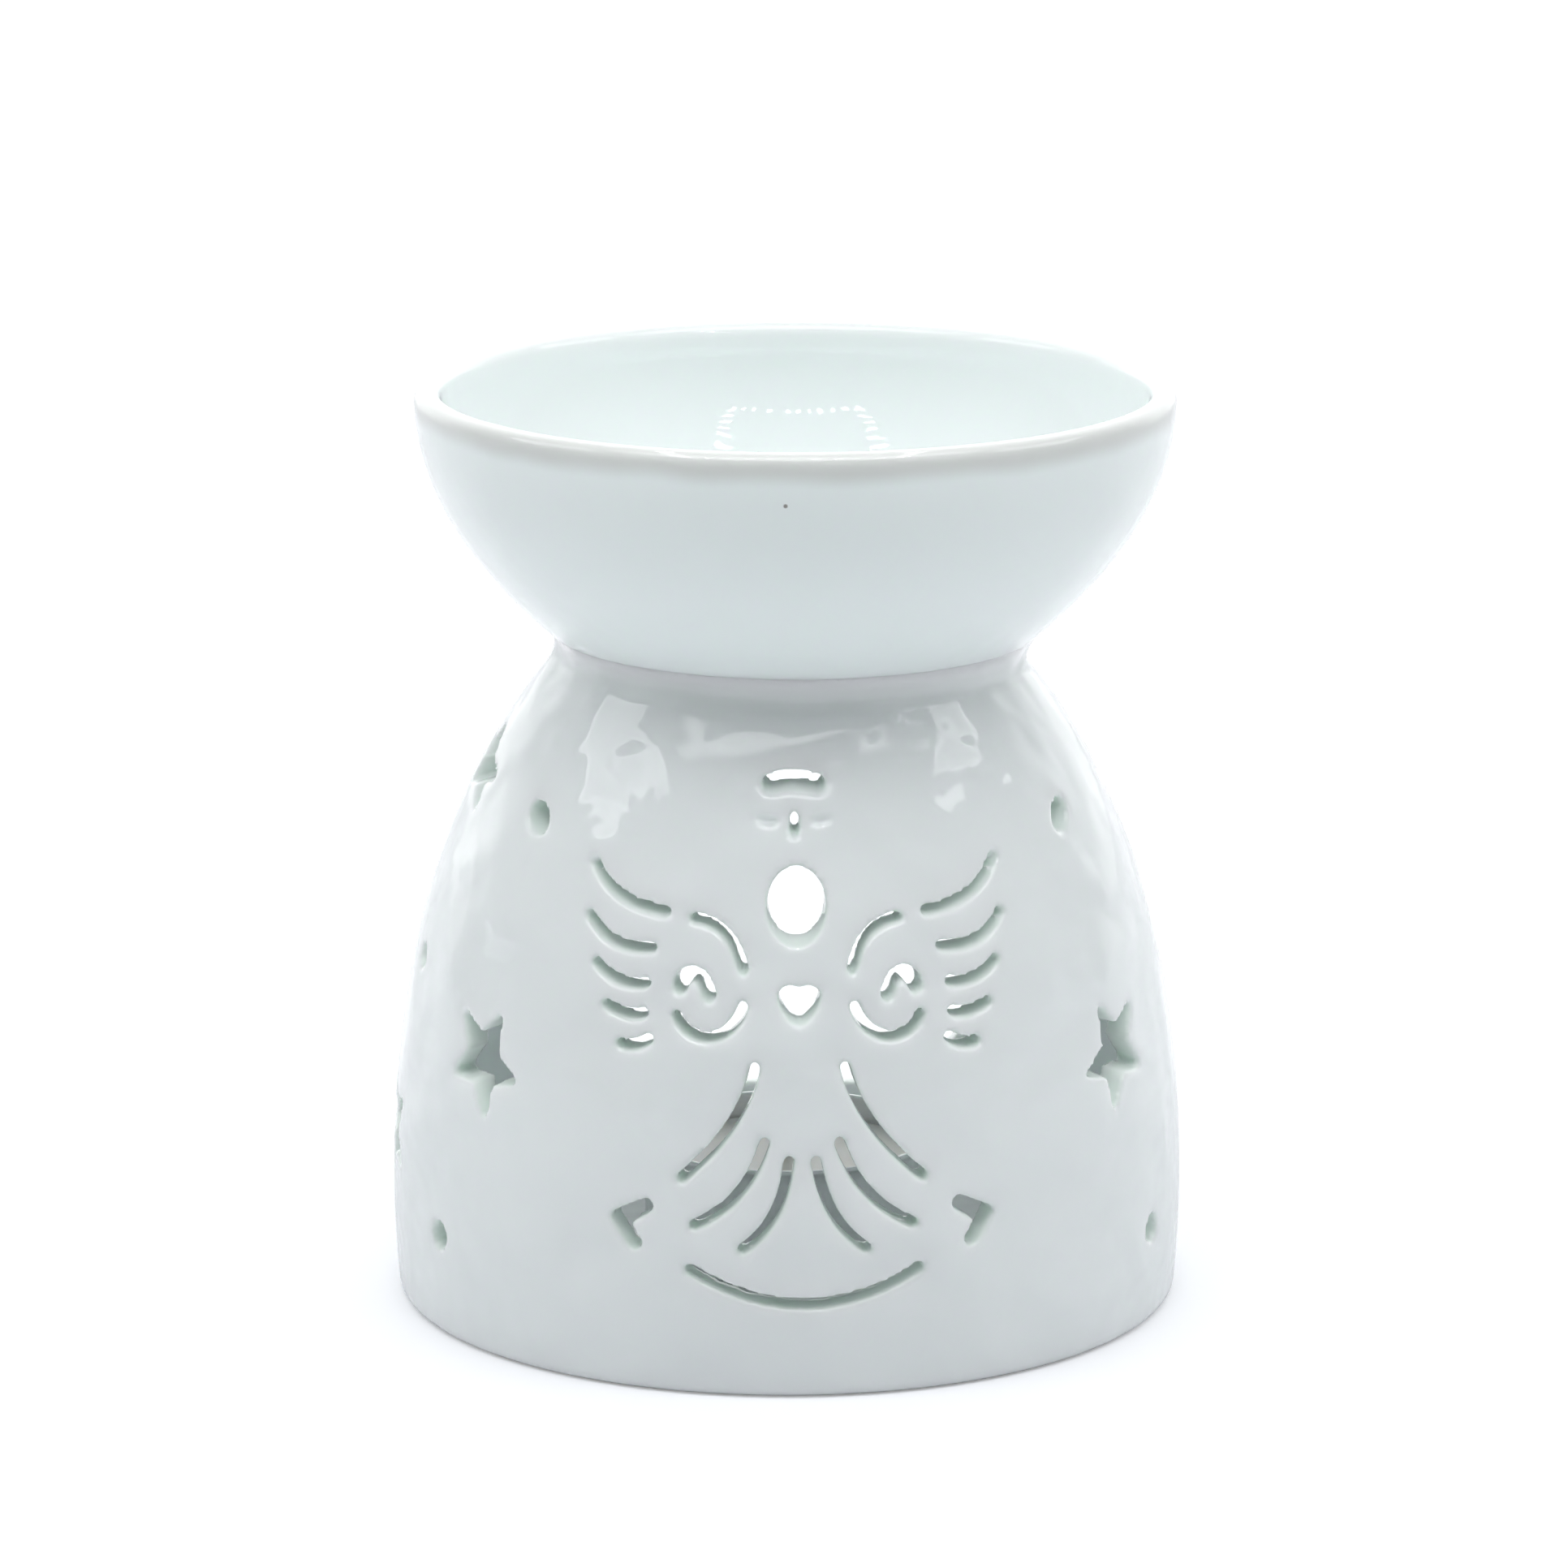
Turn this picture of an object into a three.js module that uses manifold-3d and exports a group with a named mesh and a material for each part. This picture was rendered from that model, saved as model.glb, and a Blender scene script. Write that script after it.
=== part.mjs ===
// A pierced porcelain burner for one tealight. A slip-cast dome with its own floor carries an
// open dish, joined to its neck by a ring of slip. An opening at the back takes the tealight.
// Millimetres, +Z up, the pierced figure faces -Y, the origin is the middle of the foot.
import * as THREE from "three";
import { mergeVertices } from "three/addons/utils/BufferGeometryUtils.js";
import Module from "manifold-3d";

// Driving dimensions
const HEIGHT = 120.6;
const DOME_R = 52; // widest, near the foot
const DOME_WALL = 3.5;
const FOOT_TAPER = 0.7; // the foot is this much slimmer than the dome
const FOOT_RING_WIDTH = 5.5;
const FOOT_RECESS = 1; // the underside inside the foot ring is this much higher
const FLOOR_TOP = 4;
const EDGE_R = 1.6; // rounding of the foot's outer edge
const BELLY_Z = 14; // the dome starts to close in above this height
const DOME_RISE = 86.2; // from there to where the dome would close
const DOME_POWER = 2.15;
const NECK_R = 31;
const NECK_Z = 85.2; // flat top of the dome
const SEAM_THICKNESS = 1.2;
const DISH_R = 49.3;
const DISH_LIP_R = 1.75;
const DISH_WALL = 3.6;
const DISH_FLOOR = 3.8;
const DISH_SPREAD = 17.4; // how far the dish widens over DISH_DROP
const DISH_DROP = 31;
const DISH_POWER = 2.05;
const DISH_SHIFT = 1.1; // the dish was joined slightly off centre, towards +X
const GAP = 0.3; // between pieces that touch

const OPENING_HALF_WIDTH = 27;
const OPENING_SILL = 13;
const OPENING_SPRING = 39; // where the round head starts
const OPENING_CORNER_R = 20;

const CUP_R = 19; // standard tealight
const CUP_HEIGHT = 16;
const CUP_WALL = 0.4;
const CUP_DRAFT = 0.3; // the cup's base is this much slimmer than its mouth
const RIM_R = 0.45; // rolled rim, half its thickness
const WAX_HEIGHT = 12.2;
const WICK_R = 0.95;
const WICK_ABOVE_WAX = 8.5;
const SUSTAINER_R = 6.4;
const SUSTAINER_THICKNESS = 0.35;
const SUSTAINER_NECK_HEIGHT = 2.6;
const SUSTAINER_NECK_WALL = 0.45;

const AROUND = 48; // sides of the large turned pieces
const AROUND_SMALL = 32;

const wasm = await Module();
wasm.setup();

// ---- Shapes in general ---------------------------------------------------------------------

// Turns an outline of [radius, height] points about +Z.
function turned(outline, sides) {
  const points = outline.map(([r, z]) => new THREE.Vector2(r, z));
  const geometry = new THREE.LatheGeometry(points, sides);
  geometry.rotateX(Math.PI / 2);
  return geometry;
}

// Points of a round stretch, angles in degrees from the outward direction.
function arcPoints(centreR, centreZ, radius, from, to, steps) {
  const points = [];
  for (let i = 0; i <= steps; i += 1) {
    const angle = THREE.MathUtils.degToRad(from + ((to - from) * i) / steps);
    points.push([centreR + radius * Math.cos(angle), centreZ + radius * Math.sin(angle)]);
  }
  return points;
}

// A closed geometry as a solid, with the slivers at its poles left out.
function solidOf(geometry) {
  const bare = geometry.clone();
  bare.deleteAttribute("normal");
  bare.deleteAttribute("uv");
  const merged = mergeVertices(bare, 1e-4);
  const triangles = [];
  const index = merged.index.array;
  for (let i = 0; i < index.length; i += 3) {
    const [a, b, c] = [index[i], index[i + 1], index[i + 2]];
    if (a !== b && b !== c && c !== a) triangles.push(a, b, c);
  }
  return new wasm.Manifold(
    new wasm.Mesh({
      numProp: 3,
      vertProperties: new Float32Array(merged.attributes.position.array),
      triVerts: new Uint32Array(triangles),
    }),
  );
}

function geometryOf(solid) {
  const mesh = solid.getMesh();
  const geometry = new THREE.BufferGeometry();
  geometry.setAttribute("position", new THREE.BufferAttribute(mesh.vertProperties, 3));
  geometry.setIndex(new THREE.BufferAttribute(mesh.triVerts, 1));
  geometry.computeVertexNormals();
  return geometry;
}

// ---- The dome's outline --------------------------------------------------------------------

function domeRadius(z) {
  if (z < BELLY_Z) return DOME_R - FOOT_TAPER * ((BELLY_Z - z) / BELLY_Z) ** 2;
  return DOME_R * Math.sqrt(1 - ((z - BELLY_Z) / DOME_RISE) ** DOME_POWER);
}

// The wall measured level is thicker where the dome leans in.
function domeInnerRadius(z) {
  const lean = domeRadius(z + 0.5) - domeRadius(z - 0.5);
  return domeRadius(z) - DOME_WALL * Math.hypot(1, lean);
}

function heights(from, to, steps) {
  return Array.from({ length: steps + 1 }, (_, i) => from + ((to - from) * i) / steps);
}

// ---- Pierced openings ----------------------------------------------------------------------
// Outlines are drawn in (across, height): across is measured along the wall from the front
// meridian, and every cut goes straight through the wall towards the dome's axis.

const CUT_FROM_R = 20;
const CUT_TO_R = 60;

function wallCutter(outline) {
  const shape = new THREE.Shape(outline);
  const depth = CUT_TO_R - CUT_FROM_R;
  const geometry = new THREE.ExtrudeGeometry(shape, { depth, bevelEnabled: false });
  const position = geometry.attributes.position;
  for (let i = 0; i < position.count; i += 1) {
    const z = position.getY(i);
    const azimuth = position.getX(i) / domeRadius(z);
    const radius = CUT_FROM_R + position.getZ(i);
    position.setXYZ(i, radius * Math.sin(azimuth), -radius * Math.cos(azimuth), z);
  }
  return solidOf(geometry);
}

// A slot of even width with round ends along a curve.
function slotOutline(curve, width, steps) {
  const left = [];
  const right = [];
  for (let i = 0; i <= steps; i += 1) {
    const t = i / steps;
    const point = curve.getPoint(t);
    const along = curve.getTangent(t);
    const side = new THREE.Vector2(-along.y, along.x).multiplyScalar(width / 2);
    left.push(point.clone().add(side));
    right.push(point.clone().sub(side));
  }
  const end = roundEnd(curve.getPoint(1), curve.getTangent(1), width);
  const start = roundEnd(curve.getPoint(0), curve.getTangent(0).negate(), width);
  return [...right, ...end, ...left.reverse(), ...start];
}

function roundEnd(tip, direction, width) {
  const heading = direction.angle();
  return [-35, 35].map((degrees) => {
    const angle = heading + THREE.MathUtils.degToRad(degrees);
    return new THREE.Vector2(Math.cos(angle), Math.sin(angle)).multiplyScalar(width / 2).add(tip);
  });
}

function ovalOutline(x, z, halfWidth, halfHeight, sides) {
  return Array.from({ length: sides }, (_, i) => {
    const angle = (2 * Math.PI * i) / sides;
    return new THREE.Vector2(x + halfWidth * Math.cos(angle), z + halfHeight * Math.sin(angle));
  });
}

// A star with one tip down. The corners between its arms lie at STAR_WAIST of its reach.
const STAR_WAIST = 0.46;
const STAR_TIPS = 5;

function starOutline(x, z, halfWidth, halfHeight, tilt) {
  return Array.from({ length: 2 * STAR_TIPS }, (_, i) => {
    const angle = (Math.PI * i) / STAR_TIPS - Math.PI / 2 + THREE.MathUtils.degToRad(tilt);
    const reach = i % 2 === 0 ? 1 : STAR_WAIST;
    const across = x + reach * halfWidth * Math.cos(angle);
    return new THREE.Vector2(across, z + reach * halfHeight * Math.sin(angle));
  });
}

function heartOutline(x, z, halfWidth, height) {
  const heart = new THREE.Shape();
  const [left, right, top] = [x - halfWidth, x + halfWidth, z + height];
  heart.moveTo(x, z);
  heart.bezierCurveTo(x + 1, z, right, z + 0.4 * height, right, z + 0.75 * height);
  heart.bezierCurveTo(right, top, x + 0.8, top + 0.5, x, top - 0.5);
  heart.bezierCurveTo(x - 0.8, top + 0.5, left, top, left, z + 0.75 * height);
  heart.bezierCurveTo(left, z + 0.4 * height, x - 1, z, x, z);
  return heart.getPoints(3).slice(0, -1);
}

// ---- The pierced figure --------------------------------------------------------------------
// One half of it, with x measured outwards from its own upright line. Each slot is
// [width, start, bend points, end].

const LONG_SLOT = 8;
const FINE = 1.1;
const SLOT = 1.5;
const WIDE = 2;
const HALF_FIGURE = [
  [FINE, [2.3, 72.2], [3.4, 71.5], [4.5, 72.6]],
  [SLOT, [27.3, 66.2], [25.0, 61.2], [16.7, 60.7]],
  [SLOT, [27.8, 59.4], [24.8, 55.3], [18.6, 56.4]],
  [SLOT, [26.8, 53.9], [24.0, 51.3], [19.7, 52.0]],
  [SLOT, [25.5, 49.0], [22.7, 47.6], [20.0, 48.4]],
  [SLOT, [23.5, 44.4], [21.7, 43.9], [19.4, 45.4]],
  [SLOT, [13.2, 60.3], [8.0, 60.0], [6.9, 54.2]],
  [SLOT, [15.7, 48.6], [14.6, 45.2], [8.8, 44.6], [7.0, 50.1]],
  [WIDE, [15.2, 51.8], [14.9, 54.3], [11.9, 54.4], [11.4, 51.1]],
  [SLOT, [5.7, 42.8], [7.2, 35.3], [15.6, 28.2]],
  [SLOT, [4.7, 33.4], [7.0, 25.6], [14.2, 22.3]],
  [SLOT, [1.7, 31.1], [2.7, 22.8], [8.1, 19.4]],
];
const CHEVRON = { inner: [20.3, 24.4], corner: [24.1, 22.4], lower: [22.0, 19.4] };
const HALO = [WIDE, [-3, 76], [0, 78], [3, 76]];
const NOSE = [FINE + 0.2, [0, 72.4], [0, 71.4], [0, 70.4]];
const HEM = [SLOT, [-14.9, 16.7], [0, 8.2], [14.9, 16.7]];
const FACE_OVAL = { z: 61.9, halfWidth: 3.9, halfHeight: 4.9 };
const HEART = { z: 47.6, halfWidth: 2.8, height: 5 };

// The figure leans a little, so its middle drifts across the wall on the way down.
function figureMiddle(z) {
  return 0.9 + (74 - z) * 0.025;
}

function figureSlot([width, ...points], side) {
  const placed = points.map(([x, z]) => new THREE.Vector2(figureMiddle(z) + side * x, z));
  const curve =
    placed.length === 3
      ? new THREE.QuadraticBezierCurve(...placed)
      : new THREE.CubicBezierCurve(...placed);
  return wallCutter(slotOutline(curve, width, curve.getLength() > LONG_SLOT ? 4 : 3));
}

function chevronCutter(side) {
  const at = ([x, z]) => new THREE.Vector2(figureMiddle(z) + side * x, z);
  const corner = at(CHEVRON.corner);
  const arms = [CHEVRON.inner, CHEVRON.lower].map((end) =>
    wallCutter(slotOutline(new THREE.LineCurve(corner, at(end)), WIDE, 1)),
  );
  return arms[0].add(arms[1]);
}

function figureCutters() {
  const cutters = [figureSlot(HALO, 1), figureSlot(NOSE, 1), figureSlot(HEM, 1)];
  for (const side of [-1, 1]) {
    for (const slot of HALF_FIGURE) cutters.push(figureSlot(slot, side));
    cutters.push(chevronCutter(side));
  }
  const { z, halfWidth, halfHeight } = FACE_OVAL;
  cutters.push(wallCutter(ovalOutline(figureMiddle(z), z, halfWidth, halfHeight, 16)));
  const middle = figureMiddle(HEART.z);
  cutters.push(wallCutter(heartOutline(middle, HEART.z, HEART.halfWidth, HEART.height)));
  return cutters;
}

// ---- Stars and dots around the sides -------------------------------------------------------
// They were placed and cut by hand, so the two sides are not quite alike. Azimuth is in degrees
// from the front, positive towards +X, and tilt turns a star as seen from outside.

const STARS = [
  { azimuth: -51, z: 38.6, halfWidth: 7.2, halfHeight: 7.5, tilt: 5 },
  { azimuth: -81.5, z: 71.4, halfWidth: 7.2, halfHeight: 5.3, tilt: 16 },
  { azimuth: -84, z: 23, halfWidth: 7.5, halfHeight: 7.5, tilt: -18 },
  { azimuth: -116, z: 46, halfWidth: 7, halfHeight: 7, tilt: 6 },
  { azimuth: 57.5, z: 38.4, halfWidth: 7.3, halfHeight: 7.5, tilt: -6 },
  { azimuth: 96, z: 69, halfWidth: 7.2, halfHeight: 5.6, tilt: -16 },
  { azimuth: 103, z: 22, halfWidth: 7.4, halfHeight: 7.4, tilt: 18 },
  { azimuth: 121, z: 47, halfWidth: 7, halfHeight: 7, tilt: -6 },
];
const DOTS = [
  { azimuth: -51, z: 69, radius: 2.1 },
  { azimuth: -60, z: 13.6, radius: 1.95 },
  { azimuth: -77, z: 47, radius: 1.5 },
  { azimuth: -108, z: 13, radius: 1.95 },
  { azimuth: 58.5, z: 68.4, radius: 2.1 },
  { azimuth: 66, z: 13.2, radius: 1.95 },
  { azimuth: 90, z: 45.2, radius: 1.5 },
  { azimuth: 122, z: 13, radius: 1.95 },
];

function sideCutters() {
  const across = (azimuth, z) => THREE.MathUtils.degToRad(azimuth) * domeRadius(z);
  const stars = STARS.map(({ azimuth, z, halfWidth, halfHeight, tilt }) =>
    wallCutter(starOutline(across(azimuth, z), z, halfWidth, halfHeight, tilt)),
  );
  const dots = DOTS.map(({ azimuth, z, radius }) =>
    wallCutter(ovalOutline(across(azimuth, z), z, radius, radius, 10)),
  );
  return [...stars, ...dots];
}

// ---- The opening at the back ---------------------------------------------------------------

function openingCutter() {
  const w = OPENING_HALF_WIDTH;
  const r = OPENING_CORNER_R;
  const shape = new THREE.Shape();
  shape.moveTo(-w + r, OPENING_SILL);
  shape.lineTo(w - r, OPENING_SILL);
  shape.absarc(w - r, OPENING_SILL + r, r, -Math.PI / 2, 0, false);
  shape.absarc(0, OPENING_SPRING, w, 0, Math.PI, false);
  shape.absarc(-w + r, OPENING_SILL + r, r, Math.PI, 1.5 * Math.PI, false);
  const depth = CUT_TO_R - CUT_FROM_R;
  const geometry = new THREE.ExtrudeGeometry(shape, {
    depth,
    bevelEnabled: false,
    curveSegments: 8,
  });
  geometry.rotateX(Math.PI / 2);
  geometry.translate(0, CUT_TO_R, 0);
  return solidOf(geometry);
}

// ---- The ceramic pieces --------------------------------------------------------------------

function bodyOutline() {
  const footR = domeRadius(EDGE_R) - EDGE_R;
  const ringInnerR = footR - FOOT_RING_WIDTH;
  const cornerR = 3;
  const innerStart = FLOOR_TOP + cornerR;
  const cornerCentre = domeInnerRadius(innerStart) - cornerR;
  return [
    [0, FOOT_RECESS],
    [ringInnerR - FOOT_RECESS, FOOT_RECESS],
    [ringInnerR, 0],
    ...arcPoints(footR, EDGE_R, EDGE_R, -90, 0, 3),
    ...heights(8, 80, 8).map((z) => [domeRadius(z), z]),
    [NECK_R + 0.3, 83.8],
    [NECK_R, NECK_Z],
    [domeInnerRadius(NECK_Z), NECK_Z],
    ...heights(80, 14, 4).map((z) => [domeInnerRadius(z), z]),
    ...arcPoints(cornerCentre, innerStart, cornerR, 0, -90, 3),
    [0, FLOOR_TOP],
  ];
}

function burnerBody() {
  let body = solidOf(turned(bodyOutline(), AROUND)).subtract(openingCutter());
  for (const cutter of [...figureCutters(), ...sideCutters()]) body = body.subtract(cutter);
  return geometryOf(body);
}

const SEAM_Z = NECK_Z + GAP;
const DISH_Z = SEAM_Z + SEAM_THICKNESS + GAP;

// The ring of slip that was squeezed between the dome's neck and the dish.
function slipSeam() {
  const innerR = domeInnerRadius(NECK_Z) + 0.2;
  const middle = SEAM_Z + SEAM_THICKNESS / 2;
  const outline = [
    [innerR, SEAM_Z],
    [NECK_R, SEAM_Z],
    [NECK_R - 0.15, middle],
    [NECK_R, SEAM_Z + SEAM_THICKNESS],
    [innerR, SEAM_Z + SEAM_THICKNESS],
    [innerR - 0.4, middle],
    [innerR, SEAM_Z],
  ];
  return turned(outline, AROUND);
}

function dishRadius(z) {
  return DISH_R - DISH_SPREAD * ((HEIGHT - 1 - z) / DISH_DROP) ** DISH_POWER;
}

function dishInnerRadius(z) {
  const lean = dishRadius(z + 0.5) - dishRadius(z - 0.5);
  return dishRadius(z) - DISH_WALL * Math.hypot(1, lean);
}

function dishOutline() {
  const lipZ = HEIGHT - DISH_LIP_R;
  const well = DISH_Z + DISH_FLOOR;
  return [
    [0, DISH_Z],
    ...heights(DISH_Z, 115, 7).map((z) => [dishRadius(z), z]),
    ...arcPoints(DISH_R - DISH_LIP_R, lipZ, DISH_LIP_R, 0, 180, 6),
    ...heights(114, 97, 4).map((z) => [dishInnerRadius(z), z]),
    [31.5, well + 2.8],
    [26, well + 0.9],
    [18, well],
    [0, well],
  ];
}

// ---- The tealight --------------------------------------------------------------------------

const CUP_Z = FLOOR_TOP + GAP;
const WAX_Z = CUP_Z + CUP_WALL + GAP;
const WAX_TOP = WAX_Z + WAX_HEIGHT;
const NECK_OUTER_R = WICK_R + GAP + SUSTAINER_NECK_WALL;

function cupOutline() {
  const baseR = CUP_R - CUP_DRAFT;
  const rimZ = CUP_Z + CUP_HEIGHT - RIM_R;
  return [
    [0, CUP_Z],
    [baseR - 1, CUP_Z],
    [baseR, CUP_Z + 1],
    [CUP_R, rimZ - RIM_R],
    ...arcPoints(CUP_R + 0.1, rimZ, RIM_R, -60, 180, 5),
    [CUP_R - CUP_WALL, rimZ - RIM_R],
    [baseR - CUP_WALL, CUP_Z + 1.2],
    [baseR - 1.2, CUP_Z + CUP_WALL],
    [0, CUP_Z + CUP_WALL],
  ];
}

// The wax is cast round the wick and its sustainer, so it has their hollow in it.
function waxOutline() {
  const outerR = CUP_R - CUP_DRAFT - CUP_WALL - GAP;
  const boreR = WICK_R + GAP;
  const recessR = SUSTAINER_R + GAP;
  const recessTop = WAX_Z + SUSTAINER_THICKNESS + GAP;
  const collarR = NECK_OUTER_R + GAP;
  const collarTop = WAX_Z + SUSTAINER_NECK_HEIGHT + GAP;
  return [
    [recessR, WAX_Z],
    [outerR - 1.2, WAX_Z],
    [outerR, WAX_Z + 1.2],
    [outerR, WAX_TOP],
    [outerR - 1.5, WAX_TOP - 0.3],
    [boreR + 1.5, WAX_TOP - 0.3],
    [boreR, WAX_TOP],
    [boreR, collarTop],
    [collarR, collarTop],
    [collarR, recessTop],
    [recessR, recessTop],
    [recessR, WAX_Z],
  ];
}

function sustainerOutline() {
  const boreR = WICK_R + GAP;
  return [
    [boreR, WAX_Z],
    [SUSTAINER_R, WAX_Z],
    [SUSTAINER_R, WAX_Z + SUSTAINER_THICKNESS],
    [NECK_OUTER_R, WAX_Z + SUSTAINER_THICKNESS],
    [NECK_OUTER_R, WAX_Z + SUSTAINER_NECK_HEIGHT],
    [boreR, WAX_Z + SUSTAINER_NECK_HEIGHT],
    [boreR, WAX_Z],
  ];
}

function wickOutline() {
  const top = WAX_TOP + WICK_ABOVE_WAX;
  return [
    [0, WAX_Z],
    [WICK_R, WAX_Z],
    [WICK_R, top - 0.5],
    [WICK_R * 0.5, top],
    [0, top],
  ];
}

// ---- Materials and the assembly ------------------------------------------------------------

const porcelain = new THREE.MeshStandardMaterial({ color: 0xe4ebec, roughness: 0.12 });
const slip = new THREE.MeshStandardMaterial({ color: 0xdce4e5, roughness: 0.18 });
const aluminium = new THREE.MeshStandardMaterial({ color: 0xc9ccce, roughness: 0.3, metalness: 1 });
const wax = new THREE.MeshStandardMaterial({ color: 0xf3f1ea, roughness: 0.45 });
const cotton = new THREE.MeshStandardMaterial({ color: 0xefe9dc, roughness: 0.9 });
const tinplate = new THREE.MeshStandardMaterial({ color: 0x9a9c9f, roughness: 0.35, metalness: 1 });

function piece(name, geometry, material) {
  const mesh = new THREE.Mesh(geometry, material);
  mesh.name = name;
  return mesh;
}

const burner = new THREE.Group();
burner.add(piece("burner_body", burnerBody(), porcelain));
burner.add(piece("slip_seam", slipSeam(), slip));

const dish = piece("oil_dish", turned(dishOutline(), AROUND), porcelain);
dish.position.x = DISH_SHIFT;
burner.add(dish);

const tealight = new THREE.Group();
tealight.add(piece("tealight_cup", turned(cupOutline(), AROUND_SMALL), aluminium));
tealight.add(piece("tealight_wax", turned(waxOutline(), AROUND_SMALL), wax));
tealight.add(piece("wick_sustainer", turned(sustainerOutline(), 24), tinplate));
tealight.add(piece("wick", turned(wickOutline(), 16), cotton));

const tealightHolder = new THREE.Group();
tealightHolder.add(burner, tealight);

export default tealightHolder;
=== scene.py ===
"""Looks of a pierced porcelain burner for one tealight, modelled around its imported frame."""

import math

import bpy
import numpy as np
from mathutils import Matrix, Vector


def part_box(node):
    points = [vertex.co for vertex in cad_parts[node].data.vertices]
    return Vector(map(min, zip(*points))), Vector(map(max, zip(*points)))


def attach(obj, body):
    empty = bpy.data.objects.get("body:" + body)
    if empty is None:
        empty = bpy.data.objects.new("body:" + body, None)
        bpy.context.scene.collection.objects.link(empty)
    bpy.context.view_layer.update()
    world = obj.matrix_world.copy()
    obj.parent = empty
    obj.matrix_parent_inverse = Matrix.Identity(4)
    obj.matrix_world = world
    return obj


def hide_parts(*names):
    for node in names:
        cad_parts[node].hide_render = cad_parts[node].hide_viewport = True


bl_info = {
    "name": "Pierced Porcelain Burner",
    "version": (1, 0, 0),
    "blender": (4, 5, 0),
    "location": "3D Viewport > Sidebar > Burner",
    "description": "Models a pierced porcelain burner with its dish and tealight, and its studio",
    "category": "Add Mesh",
}

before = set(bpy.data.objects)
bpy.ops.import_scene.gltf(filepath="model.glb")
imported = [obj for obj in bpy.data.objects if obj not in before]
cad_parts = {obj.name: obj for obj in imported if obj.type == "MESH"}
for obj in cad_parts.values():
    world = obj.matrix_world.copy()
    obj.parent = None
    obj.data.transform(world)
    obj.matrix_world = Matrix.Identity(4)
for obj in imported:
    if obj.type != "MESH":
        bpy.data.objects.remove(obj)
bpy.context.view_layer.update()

MM = 0.001
BODY_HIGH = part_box("burner_body")[1]
DISH_LOW, DISH_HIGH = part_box("oil_dish")
CUP_LOW, CUP_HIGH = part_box("tealight_cup")
WAX_LOW, WAX_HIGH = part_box("tealight_wax")
WICK_LOW, WICK_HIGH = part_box("wick")
SUSTAINER_LOW, SUSTAINER_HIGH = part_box("wick_sustainer")

# The dome's outline, in millimetres from the axis and above the foot
DOME_R = round(BODY_HIGH.x / MM, 1)
BELLY_Z = 14.0
DOME_RISE = 86.2
DOME_POWER = 2.15
FOOT_TAPER = 0.7
FOOT_RECESS = 1.0
FOOT_RING_WIDTH = 5.5
EDGE_R = 1.6
FLOOR_TOP = 4.0
FLOOR_CORNER_R = 3.0
NECK_Z = BODY_HIGH.z / MM

# The dish's outline
DISH_TOP = DISH_HIGH.z / MM
DISH_FOOT = DISH_LOW.z / MM
DISH_R = (DISH_HIGH.x - DISH_LOW.x) / 2 / MM
DISH_SHIFT = (DISH_HIGH.x + DISH_LOW.x) / 2 / MM
DISH_SPREAD = 17.4
DISH_DROP = 31.0
DISH_POWER = 2.05
DISH_FLOOR = 3.8
LIP_R = 1.75

# The opening at the back
OPENING_HALF_WIDTH = 27.0
OPENING_SILL = 13.0
OPENING_SPRING = 39.0
OPENING_CORNER_R = 20.0

# Cuts run towards the axis and a little upwards, from well outside the wall to well inside
CUT_OUTSIDE = 1.12
CUT_INSIDE = 0.78
CUT_RISE = 8.0

# The neck's fillet has 20 steps. The dome keeps this many and then runs straight into the dish.
FILLET_END = 17
FILLET_RUN = 1.6

# The ring of slip inside the neck
SEAM_MIDDLE_R = 29.2
SEAM_MIDDLE_Z = 85.9
SEAM_HALF_WIDTH = 1.1

# The pierced figure, one half of it: x is measured outwards from its own upright line,
# along the wall. Each slot is (width, start, bend points, end).
FINE = 1.0
SLOT = 1.35
WIDE = 1.9
HALF_FIGURE = [
    (FINE, (2.3, 72.2), (3.4, 71.5), (4.5, 72.6)),
    (SLOT, (27.3, 66.2), (25.0, 61.2), (16.7, 60.7)),
    (SLOT, (27.8, 59.4), (24.8, 55.3), (18.6, 56.4)),
    (SLOT, (26.8, 53.9), (24.0, 51.3), (19.7, 52.0)),
    (SLOT, (25.5, 49.0), (22.7, 47.6), (20.0, 48.4)),
    (SLOT, (23.5, 44.4), (21.7, 43.9), (19.4, 45.4)),
    (SLOT, (13.2, 60.3), (8.0, 60.0), (6.9, 54.2)),
    (SLOT, (15.7, 48.6), (14.6, 45.2), (8.8, 44.6), (7.0, 50.1)),
    (WIDE, (15.2, 51.8), (14.9, 54.3), (11.9, 54.4), (11.4, 51.1)),
    (SLOT, (5.7, 42.8), (7.2, 35.3), (15.6, 28.2)),
    (SLOT, (4.7, 33.4), (7.0, 25.6), (14.2, 22.3)),
    (SLOT, (1.7, 31.1), (2.7, 22.8), (8.1, 19.4)),
]
WHOLE_FIGURE = [
    (2.3, (-3.0, 76.0), (0.0, 76.9), (3.0, 76.0)),
    (1.2, (0.0, 72.4), (0.0, 71.4), (0.0, 70.4)),
    (SLOT, (-14.9, 16.7), (0.0, 8.2), (14.9, 16.7)),
]
CHEVRON = ((20.3, 24.4), (24.1, 22.4), (22.0, 19.4))
FACE_OVAL = (61.9, 3.8, 4.8)
HEART = (47.7, 2.7, 4.9)

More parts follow.
